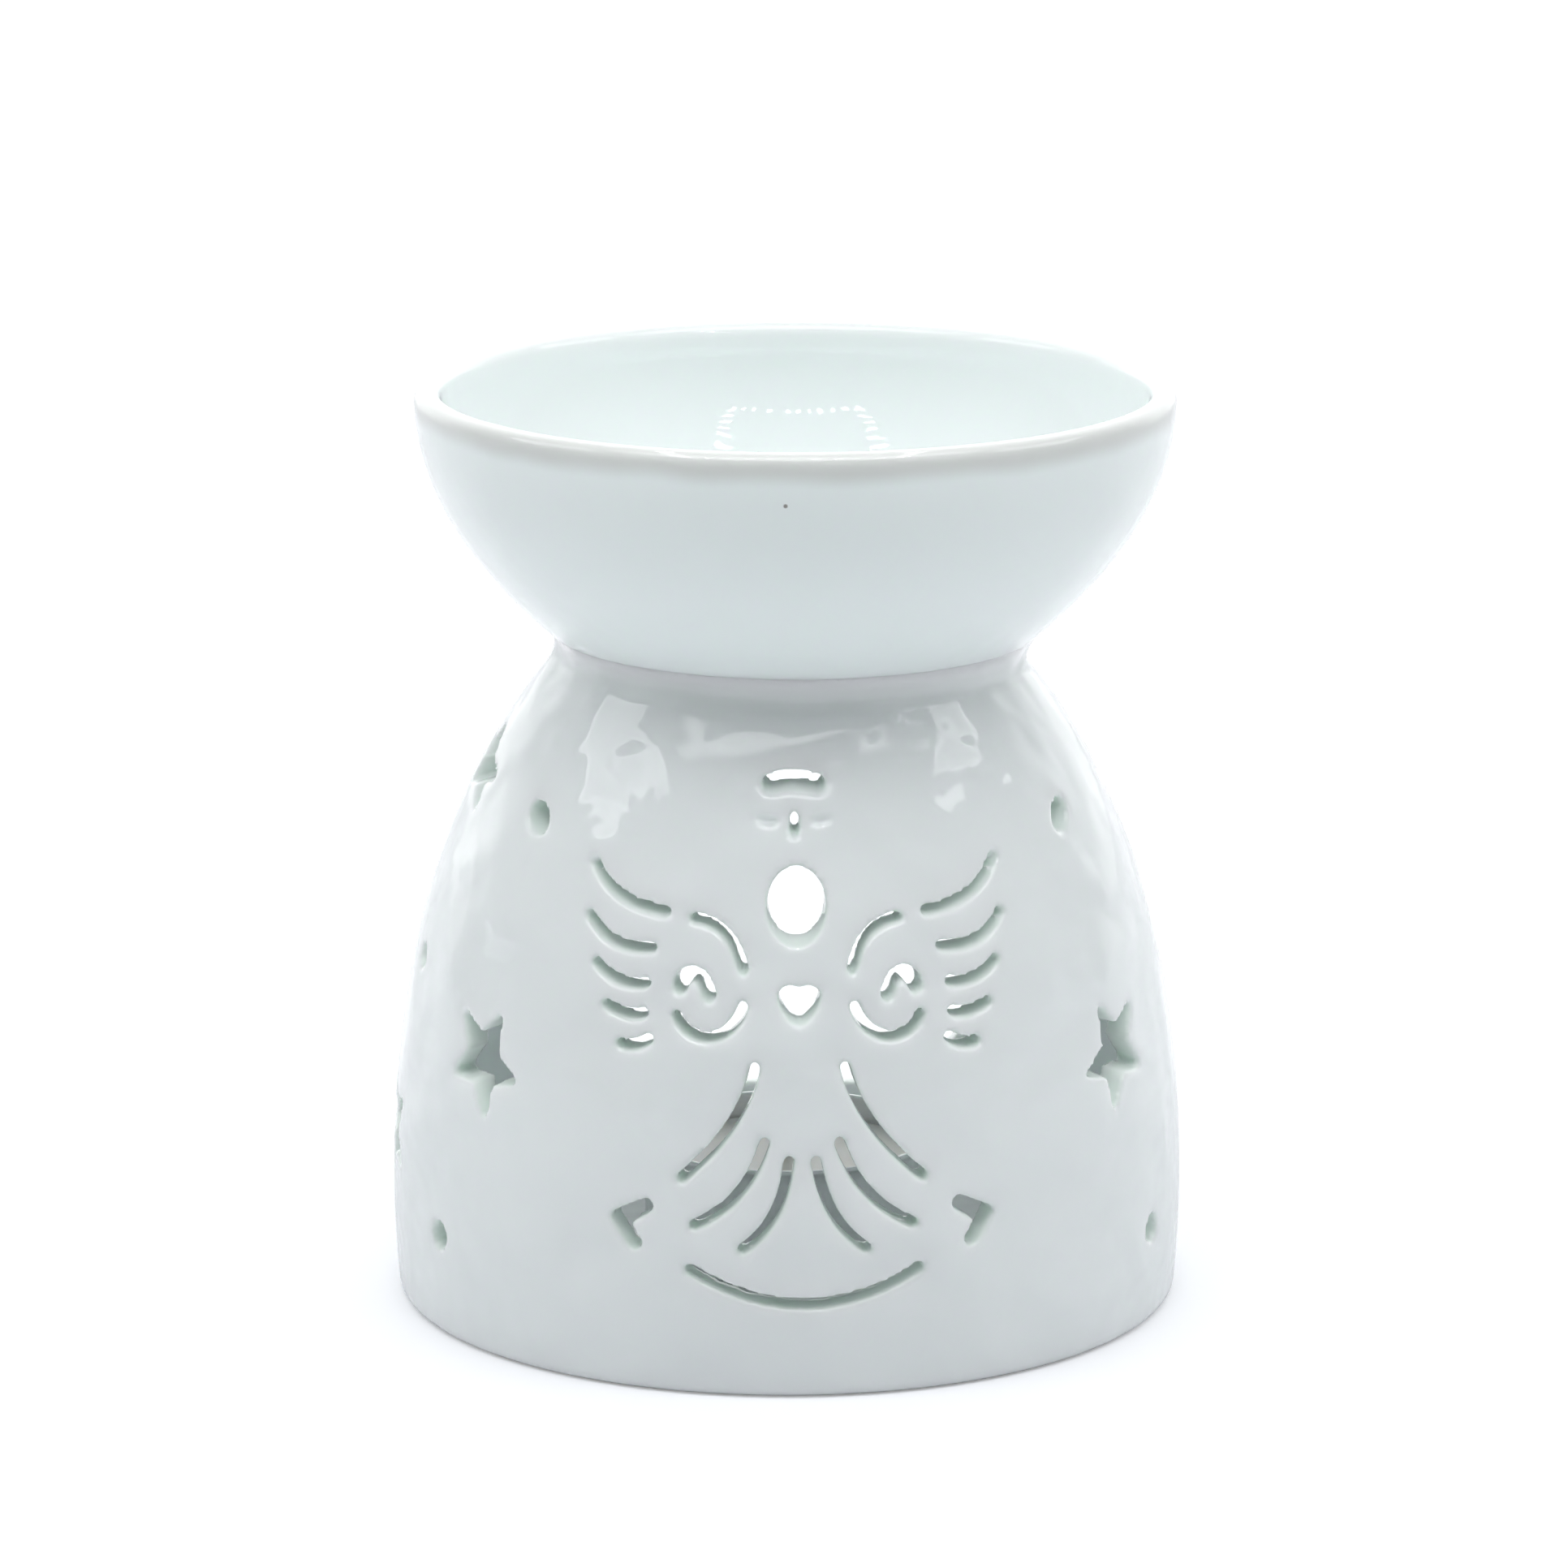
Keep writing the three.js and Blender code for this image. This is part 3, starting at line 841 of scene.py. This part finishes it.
def dome_outline(wall, fillet, low, high):
    foot_r = dome_radius(EDGE_R) - EDGE_R
    ring_inner = foot_r - FOOT_RING_WIDTH
    inner_start = FLOOR_TOP + FLOOR_CORNER_R
    corner = dome_inner_radius(inner_start, wall) - FLOOR_CORNER_R
    fillet = fillet[1:FILLET_END]
    (r, z), (r_before, z_before) = fillet[-1], fillet[-2]
    along = math.hypot(r - r_before, z - z_before)
    tip_r = r + FILLET_RUN * (r - r_before) / along
    tip_z = z + FILLET_RUN * (z - z_before) / along
    return (
        [(0, FOOT_RECESS), (15, FOOT_RECESS), (30, FOOT_RECESS)]
        + [(ring_inner - FOOT_RECESS, FOOT_RECESS), (ring_inner, 0)]
        + arc(foot_r, EDGE_R, EDGE_R, -90, 0, 8)
        + [(dome_radius(z), z) for z in heights(3, low, 70)]
        + fillet
        + [(tip_r, tip_z), (tip_r - 0.8, tip_z + 0.1), (r - 1.6, z)]
        + [(28.9, 87.3), (28.2, 86.2)]
        + [(dome_inner_radius(NECK_Z - 0.6, wall) + 0.4, NECK_Z)]
        + [(dome_inner_radius(z, wall), z) for z in heights(NECK_Z - 0.8, inner_start + 1, 60)]
        + arc(corner, inner_start, FLOOR_CORNER_R, 0, -90, 8)
        + [(30, FLOOR_TOP), (15, FLOOR_TOP), (0, FLOOR_TOP)]
    )


def smooth_step(share):
    share = np.clip(share, 0.0, 1.0)
    return share * share * (3 - 2 * share)


def follow_dish(piece, low, high):
    """Leads the neck over to the dish, which was joined slightly off centre."""
    places = vertex_places(piece)
    share = (places[:, 2] / MM - low) / (high - low)
    places[:, 0] += DISH_SHIFT * MM * smooth_step(share)
    piece.data.vertices.foreach_set("co", places.ravel())
    piece.data.update()


def write_pooled_and_painted_shade(piece, amount):
    """Stores how thick the glaze lies at each point, and how much painted shade the point gets,
    which the glaze's colour follows.
    """
    layer = piece.data.attributes.new("pooled_and_painted_shade", "FLOAT", "POINT")
    layer.data.foreach_set("value", np.clip(amount, 0, 1).astype(np.float32))


def vertex_places(piece):
    places = np.empty(len(piece.data.vertices) * 3, np.float32)
    piece.data.vertices.foreach_get("co", places)
    return places.reshape(-1, 3)


def vertex_normals(piece):
    normals = np.empty(len(piece.data.vertices) * 3, np.float32)
    piece.data.vertices.foreach_get("normal", normals)
    return normals.reshape(-1, 3)


def pooled_and_painted_shade_in_cuts(piece):
    """Near 1 on the walls of the cuts, where the surface doesn't face as the dome does. It marks
    pooling glaze and painted shade in the cuts.
    """
    places = vertex_places(piece) / MM
    normals = vertex_normals(piece)
    radius = np.hypot(places[:, 0], places[:, 1])
    steps = np.linspace(0, NECK_Z - 1, 200)
    outline = np.array([dome_radius(z) for z in steps])
    lean = np.gradient(outline, steps)
    slope = np.interp(places[:, 2], steps, lean)
    outward = np.stack([places[:, 0], places[:, 1], -slope * radius], 1)
    outward /= np.linalg.norm(outward, axis=1, keepdims=True)
    facing = np.abs((outward * normals).sum(1))
    on_wall = (places[:, 2] > FLOOR_TOP + 4) & (places[:, 2] < NECK_Z - 3)
    return np.where(on_wall, (0.97 - facing) / 0.45, 0.0)


class BURNER_OT_dome(bpy.types.Operator):
    """Turn the dome, cut the figure, stars, dots and back opening, and soften it with glaze"""

    bl_idname = "burner.dome"
    bl_label = "Pierced Dome"

    def execute(self, context):
        settings = context.scene.burner_ceramic
        wall = settings.wall / MM
        fillet, low, high = neck_fillet(settings.neck_fillet / MM)
        form = turn("dome_form", dome_outline(wall, fillet, low, high), 288)
        follow_dish(form, low, high)
        dome = form.copy()
        dome.data = form.data.copy()
        context.scene.collection.objects.link(dome)
        dome.name = dome.data.name = "pierced_dome"
        cutters = join(figure_cutters() + side_cutters() + [opening_cutter()], "cutters")
        add_modifier(
            dome, "Pierce", "BOOLEAN", operation="DIFFERENCE", object=cutters, solver="MANIFOLD"
        )
        grain = settings.clay_grain * 1
        add_modifier(dome, "Clay", "REMESH", mode="VOXEL", voxel_size=grain)
        near_cut = dome.vertex_groups.new(name="near_cut")
        near_cut.add(range(len(dome.data.vertices)), 1.0, "REPLACE")
        add_modifier(
            dome,
            "Find Cuts",
            "VERTEX_WEIGHT_PROXIMITY",
            vertex_group="near_cut",
            target=cutters,
            proximity_mode="GEOMETRY",
            proximity_geometry={"FACE"},
            min_dist=SMOOTHED_BEYOND * MM,
            max_dist=SMOOTHED_FROM * MM,
        )
        add_modifier(
            dome,
            "Smooth Wall",
            "SHRINKWRAP",
            target=form,
            wrap_method="NEAREST_SURFACEPOINT",
            vertex_group="near_cut",
            invert_vertex_group=True,
        )
        add_modifier(
            dome, "Melt Edges", "SMOOTH", factor=0.5, iterations=7, vertex_group="near_cut"
        )
        triangles = sum(len(face.vertices) - 2 for face in dome.data.polygons)
        add_modifier(dome, "Thin", "DECIMATE", ratio=min(1.0, MOST_TRIANGLES / triangles))
        dome.vertex_groups.clear()
        remove(cutters)
        remove(form)
        pick(dome)
        bpy.ops.object.shade_smooth()
        # The neck under the dish gets the same darker, greener mix, for pooling glaze and as
        # painted shade.
        share = (vertex_places(dome)[:, 2] / MM - low) / (high - low)
        neck_pooling_and_painted_shade = 0.35 * np.sin(np.pi * np.clip(share, 0, 1))
        write_pooled_and_painted_shade(dome, np.maximum(pooled_and_painted_shade_in_cuts(dome), neck_pooling_and_painted_shade))
        glaze = glazed_porcelain(settings, "dome_glaze", 1.0)
        dome.data.materials.clear()
        dome.data.materials.append(glaze)
        dome.data.materials.append(bare_clay(settings, "bare_clay"))
        for face in dome.data.polygons:
            on_foot_ring = face.center.z < 0.12 * MM and face.normal.z < -0.9
            face.material_index = 1 if on_foot_ring else 0
        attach(dome, "burner")
        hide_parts("burner_body")
        return {"FINISHED"}


def dish_outline(wall):
    lip_z = DISH_TOP - LIP_R
    well = DISH_FOOT + DISH_FLOOR
    low = [(31.5, well + 2.8), (29.0, well + 1.75), (26, well + 0.9), (22, well + 0.3)]
    return (
        [(0, DISH_FOOT), (14, DISH_FOOT), (27, DISH_FOOT), (30, DISH_FOOT + 0.15)]
        + [(dish_radius(z), z) for z in heights(DISH_FOOT + 0.6, lip_z - 0.8, 48)]
        + arc(DISH_R - LIP_R, lip_z, LIP_R, 0, 180, 14)
        + [(dish_inner_radius(z, wall), z) for z in heights(lip_z - 1.2, 96.5, 36)]
        + low
        + [(18, well + 0.1), (12, well), (6, well), (0, well)]
    )


class BURNER_OT_dish(bpy.types.Operator):
    """Turn the open dish, slightly out of true as a thrown one is"""

    bl_idname = "burner.dish"
    bl_label = "Oil Dish"

    def execute(self, context):
        settings = context.scene.burner_ceramic
        wall = settings.dish_wall / MM
        dish = turn("glazed_dish", dish_outline(wall), 256, DISH_SHIFT)
        write_pooled_and_painted_shade(dish, np.zeros(len(dish.data.vertices)))
        # The dish's glaze carries a band of painted shade on the outside of its lip.
        dish.data.materials.append(glazed_porcelain(settings, "dish_glaze", 0.14, painted_lip_shade))
        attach(dish, "burner")
        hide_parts("oil_dish")
        return {"FINISHED"}


class BURNER_OT_seam(bpy.types.Operator):
    """Turn the ring of slip that holds the dish, between the dome's top and the dish's foot"""

    bl_idname = "burner.seam"
    bl_label = "Neck Seam"

    def execute(self, context):
        outline = arc(SEAM_MIDDLE_R, SEAM_MIDDLE_Z, SEAM_HALF_WIDTH, 200, -160, 24)
        seam = turn("neck_slip", outline, 128)
        seam.data.materials.append(bare_clay(context.scene.burner_ceramic, "joining_slip"))
        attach(seam, "burner")
        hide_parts("slip_seam")
        return {"FINISHED"}


# ---- The tealight ----------------------------------------------------------------------------


def cup_outline():
    top = CUP_HIGH.z / MM
    low = CUP_LOW.z / MM
    side = CUP_HIGH.x / MM - 0.55
    start = low + CUP_CORNER_R
    climb = top - start - 0.9
    rim = arc(side + 0.12, top - 0.4, 0.4, -80, 200, 12)
    return (
        [(0, low + CUP_PUNT), (6, low + CUP_PUNT), (7, low), (side - 2.4, low), (side - 1.2, low)]
        + arc(side - CUP_TAPER - CUP_CORNER_R, start, CUP_CORNER_R, -90, 0, 5)
        + [(side - CUP_TAPER * (1 - i / 12), start + climb * i / 12) for i in range(1, 13)]
        + rim
        + [(side - FOIL_WALL, top - 1.0), (side - CUP_TAPER - FOIL_WALL, low + 1.1)]
        + [(side - 1.3, low + FOIL_WALL), (0, low + CUP_PUNT + FOIL_WALL)]
    )


class BURNER_OT_cup(bpy.types.Operator):
    """Turn the foil cup, then pleat its side"""

    bl_idname = "burner.cup"
    bl_label = "Foil Cup"

    def execute(self, context):
        settings = context.scene.burner_tealight
        flutes = settings.flutes
        cup = turn("foil_cup", cup_outline(), flutes * 6)
        low, high = CUP_LOW.z, CUP_HIGH.z
        for vertex in cup.data.vertices:
            place = vertex.co
            radius = math.hypot(place.x, place.y)
            share = (place.z - low) / (high - low)
            if radius > 17 * MM and PLEATS_FROM < share < PLEATS_TO:
                fade = min(1.0, (share - PLEATS_FROM) / 0.1, (PLEATS_TO - share) / 0.1)
                wave = math.cos(flutes * math.atan2(place.y, place.x))
                scale = 1 + PLEAT_DEPTH * MM * fade * (wave - 1) / radius
                place.x *= scale
                place.y *= scale
        cup.data.materials.append(foil(settings))
        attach(cup, "tealight")
        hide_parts("tealight_cup")
        return {"FINISHED"}


def wax_outline():
    top = WAX_HIGH.z / MM
    low = WAX_LOW.z / MM
    outer = WAX_HIGH.x / MM
    return (
        [(7.0, low), (outer - 1.2, low)]
        + arc(outer - 1.0, low + 1.0, 1.0, -90, 0, 4)
        + [(outer, top - 2), (outer, top - 0.6), (outer - 0.12, top - 0.08)]
        + [(outer - 0.35, top), (outer - 0.8, top - 0.18), (outer - 1.8, top - 0.38)]
        + [(outer - 5, top - 0.5), (8, top - 0.55), (4.5, top - 0.5), (2.6, top - 0.3)]
        + [(1.5, top), (1.2, top - 0.1), (1.15, low + 3.0), (2.1, low + 2.9), (2.1, low + 0.7)]
        + [(7.0, low + 0.65), (7.0, low)]
    )


class BURNER_OT_candle(bpy.types.Operator):
    """Turn the wax, braid the wick and stamp its sustainer"""

    bl_idname = "burner.candle"
    bl_label = "Candle"

    def execute(self, context):
        settings = context.scene.burner_tealight
        wax = turn("candle_wax", wax_outline(), 96)
        wax.data.materials.append(paraffin(settings))
        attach(wax, "candle")
        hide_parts("tealight_wax")
        wick = braided_wick()
        wick.data.materials.append(cotton())
        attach(wick, "candle")
        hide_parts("wick")
        plate = sustainer()
        plate.data.materials.append(tinplate())
        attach(plate, "candle")
        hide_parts("wick_sustainer")
        return {"FINISHED"}


def braided_wick():
    """Three strands twisted round each other, dipped in wax."""
    low, high = WICK_LOW.z, WICK_HIGH.z
    strand_r = 0.46 * MM
    offset = 0.48 * MM
    pitch = 3.4 * MM
    rings = 60
    strands = []
    for strand in range(3):
        deselect()
        bpy.ops.mesh.primitive_circle_add(vertices=10, radius=strand_r, fill_type="NGON")
        piece = bpy.context.active_object
        bpy.ops.object.mode_set(mode="EDIT")
        start = 2 * math.pi * strand / 3
        place = Vector((offset * math.cos(start), offset * math.sin(start), low))
        bpy.ops.transform.translate(value=place)
        for ring in range(1, rings + 1):
            z = low + (high - low) * ring / rings
            angle = start + 2 * math.pi * (z - low) / pitch
            thin = 0.45 if ring == rings else 1.0
            there = Vector((offset * thin * math.cos(angle), offset * thin * math.sin(angle), z))
            bpy.ops.mesh.extrude_region_move(TRANSFORM_OT_translate={"value": there - place})
            place = there
        bpy.ops.transform.resize(value=(0.5, 0.5, 1), center_override=place)
        bpy.ops.mesh.select_all(action="SELECT")
        bpy.ops.mesh.normals_make_consistent(inside=False)
        bpy.ops.object.mode_set(mode="OBJECT")
        bpy.ops.object.shade_smooth()
        bpy.ops.object.transform_apply(location=True, rotation=True, scale=True)
        strands.append(piece)
    return join(strands, "braided_wick")


def sustainer():
    low = SUSTAINER_LOW.z / MM
    radius = SUSTAINER_HIGH.x / MM
    top = SUSTAINER_HIGH.z / MM
    outline = [
        (1.22, low),
        (radius - 0.1, low),
        (radius, low + 0.1),
        (radius, low + 0.25),
        (radius - 0.1, low + 0.35),
        (2.3, low + 0.35),
        (1.8, low + 0.6),
        (1.66, low + 1.0),
        (1.6, top - 0.1),
        (1.5, top),
        (1.25, top),
        (1.22, low),
    ]
    return turn("stamped_sustainer", outline, 64)


# ---- The studio ------------------------------------------------------------------------------


def sum_of(tree, kind, first, second, third=None):
    inputs = {0: first, 1: second}
    if third is not None:
        inputs[2] = third
    return node(tree, "ShaderNodeMath", inputs, operation=kind).outputs[0]


def window(tree, value, low, high, soft):
    """1 between two limits and 0 outside, with soft sides."""
    up = node(
        tree,
        "ShaderNodeMapRange",
        {"Value": value, "From Min": low - soft, "From Max": low + soft},
        interpolation_type="SMOOTHSTEP",
    ).outputs[0]
    down = node(
        tree,
        "ShaderNodeMapRange",
        {
            "Value": value,
            "From Min": high - soft,
            "From Max": high + soft,
            "To Min": 1.0,
            "To Max": 0.0,
        },
        interpolation_type="SMOOTHSTEP",
    ).outputs[0]
    return sum_of(tree, "MULTIPLY", up, down)


def light_tent(settings):
    """A white tent: dim behind the camera, with a soft box each side and lamps in its roof."""
    world = bpy.data.worlds.new("light_tent")
    world.use_nodes = True
    bpy.context.scene.world = world
    tree = world.node_tree
    direction = node(tree, "ShaderNodeTexCoord").outputs["Generated"]
    parts = node(tree, "ShaderNodeSeparateXYZ", {"Vector": direction})
    across, away, up = parts.outputs
    wide = sum_of(tree, "MAXIMUM", sum_of(tree, "ABSOLUTE", across, 0), 0.01)
    front = node(
        tree,
        "ShaderNodeMapRange",
        {
            "Value": away,
            "From Min": -0.95,
            "From Max": -0.2,
            "To Min": settings.tent_front,
            "To Max": settings.tent_side,
        },
        interpolation_type="SMOOTHSTEP",
    ).outputs[0]
    back = node(
        tree,
        "ShaderNodeMapRange",
        {"Value": away, "From Min": 0.35, "From Max": 0.8, "To Max": settings.tent_back},
        interpolation_type="SMOOTHSTEP",
    ).outputs[0]
    lean = sum_of(tree, "MULTIPLY_ADD", up, -2.1, sum_of(tree, "DIVIDE", away, wide))
    rise = sum_of(tree, "MULTIPLY_ADD", lean, 0.19, up)
    panel = window(tree, lean, *SOFT_BOX_LEAN, 0.012)
    panel = sum_of(tree, "MULTIPLY", panel, window(tree, rise, *SOFT_BOX_RISE, 0.006))
    middle = window(tree, lean, *SOFT_BOX_MIDDLE_LEAN, 0.03)
    in_rise = window(tree, rise, *SOFT_BOX_MIDDLE_RISE, 0.01)
    middle = sum_of(tree, "MULTIPLY", middle, in_rise)
    soft_box = sum_of(tree, "MULTIPLY_ADD", middle, -0.35, panel)
    roof = window(tree, up, 0.82, 1.1, 0.03)
    roof = sum_of(tree, "MULTIPLY", roof, window(tree, away, -1.0, 0.0, 0.08))
    light = sum_of(tree, "ADD", front, back)
    light = sum_of(tree, "MULTIPLY_ADD", soft_box, settings.soft_box, light)
    light = sum_of(tree, "MULTIPLY_ADD", roof, settings.roof_panel, light)
    seen = node(tree, "ShaderNodeLightPath").outputs["Is Camera Ray"]
    light = node(tree, "ShaderNodeMix", {0: seen, 2: light, 3: 1.1}).outputs[0]
    tree.links.new(light, tree.nodes["Background"].inputs["Strength"])
    tree.nodes["Background"].inputs["Color"].default_value = (0.985, 0.995, 1.0, 1)


def lamp_frame(settings):
    """Small lamps along three sides of a frame that hangs over the dish, out of sight."""
    lamps = []
    for number, (start, end, count) in enumerate(LAMP_ROWS):
        for i in range(count):
            x, y = Vector(start).lerp(Vector(end), i / (count - 1))
            place = (x * MM, y * MM, settings.lamp_height)
            deselect()
            bpy.ops.mesh.primitive_plane_add(size=MM, location=place)
            lamp = bpy.context.active_object
            bpy.ops.object.mode_set(mode="EDIT")
            shape = (6.0, 2.6, 1) if number else (2.8, 6.5, 1)
            bpy.ops.transform.resize(value=shape, center_override=place)
            bpy.ops.object.mode_set(mode="OBJECT")
            lamps.append(lamp)
    frame_of_lamps = join(lamps, "lamp_frame")
    material, tree, shader = new_material("small_lamps")
    shader.inputs["Base Color"].default_value = (0, 0, 0, 1)
    shader.inputs["Emission Color"].default_value = (1, 1, 1, 1)
    facing = node(tree, "ShaderNodeNewGeometry").outputs["Backfacing"]
    strength = node(
        tree, "ShaderNodeMapRange", {"Value": facing, "To Max": settings.lamp_strength}
    )
    tree.links.new(strength.outputs[0], shader.inputs["Emission Strength"])
    frame_of_lamps.data.materials.append(material)
    frame_of_lamps.visible_camera = False


def table(settings):
    deselect()
    bpy.ops.mesh.primitive_plane_add(size=4.0)
    floor = bpy.context.active_object
    floor.name = floor.data.name = "table"
    material, tree, shader = new_material("white_paper")
    shader.inputs["Base Color"].default_value = (0.75, 0.76, 0.79, 1)
    shader.inputs["Roughness"].default_value = 0.9
    shader.inputs["Specular IOR Level"].default_value = 0.1
    shader.inputs["Emission Color"].default_value = (1, 1, 1, 1)
    away = node(tree, "ShaderNodeSeparateXYZ", {"Vector": object_coordinates(tree)}).outputs["Y"]
    glow = node(
        tree,
        "ShaderNodeMapRange",
        {
            "Value": away,
            "From Min": 60 * MM,
            "From Max": 140 * MM,
            "To Min": settings.table_glow,
            "To Max": settings.back_glow,
        },
        interpolation_type="SMOOTHSTEP",
    ).outputs[0]
    seen = node(tree, "ShaderNodeLightPath").outputs["Is Camera Ray"]
    glow = node(tree, "ShaderNodeMix", {0: seen, 2: glow, 3: settings.table_glow + 0.2})
    tree.links.new(glow.outputs[0], shader.inputs["Emission Strength"])
    floor.data.materials.append(material)


class BURNER_OT_studio(bpy.types.Operator):
    """Set up the camera, the light tent, the lamps and the white table"""

    bl_idname = "burner.studio"
    bl_label = "Studio"

    def execute(self, context):
        settings = context.scene.burner_studio
        camera_data = bpy.data.cameras.new("camera")
        camera_data.lens = settings.lens
        camera_data.sensor_width = 36
        camera_data.clip_start = 0.05
        camera = bpy.data.objects.new("camera", camera_data)
        camera.location = (-0.37 * MM, -settings.camera_distance, settings.camera_height)
        camera.rotation_euler = (math.pi / 2 - settings.camera_pitch, 0, 0)
        context.scene.collection.objects.link(camera)
        context.scene.camera = camera
        context.scene.view_settings.view_transform = "Standard"
        context.scene.view_settings.look = "None"
        light_tent(settings)
        table(settings)
        lamp_frame(settings)
        return {"FINISHED"}


# ---- The add-on ------------------------------------------------------------------------------


class BURNER_PT_panel(bpy.types.Panel):
    """Buttons for each piece of the burner"""

    bl_idname = "BURNER_PT_panel"
    bl_label = "Pierced Burner"
    bl_space_type = "VIEW_3D"
    bl_region_type = "UI"
    bl_category = "Burner"

    def draw(self, context):
        scene = context.scene
        for group in (scene.burner_ceramic, scene.burner_tealight, scene.burner_studio):
            for name in group.__annotations__:
                self.layout.prop(group, name)
        for operator in OPERATORS:
            self.layout.operator(operator.bl_idname)


GROUPS = (CeramicSettings, TealightSettings, StudioSettings)
OPERATORS = (
    BURNER_OT_studio,
    BURNER_OT_dome,
    BURNER_OT_dish,
    BURNER_OT_seam,
    BURNER_OT_cup,
    BURNER_OT_candle,
)


def register():
    for item in (*GROUPS, *OPERATORS, BURNER_PT_panel):
        bpy.utils.register_class(item)
    bpy.types.Scene.burner_ceramic = bpy.props.PointerProperty(type=CeramicSettings)
    bpy.types.Scene.burner_tealight = bpy.props.PointerProperty(type=TealightSettings)
    bpy.types.Scene.burner_studio = bpy.props.PointerProperty(type=StudioSettings)


def unregister():
    del bpy.types.Scene.burner_ceramic
    del bpy.types.Scene.burner_tealight
    del bpy.types.Scene.burner_studio
    for item in (BURNER_PT_panel, *reversed(OPERATORS), *reversed(GROUPS)):
        bpy.utils.unregister_class(item)


def main():
    register()
    bpy.ops.burner.studio()
    bpy.ops.burner.dome()
    bpy.ops.burner.dish()
    bpy.ops.burner.seam()
    bpy.ops.burner.cup()
    bpy.ops.burner.candle()


if __name__ == "__main__":
    main()
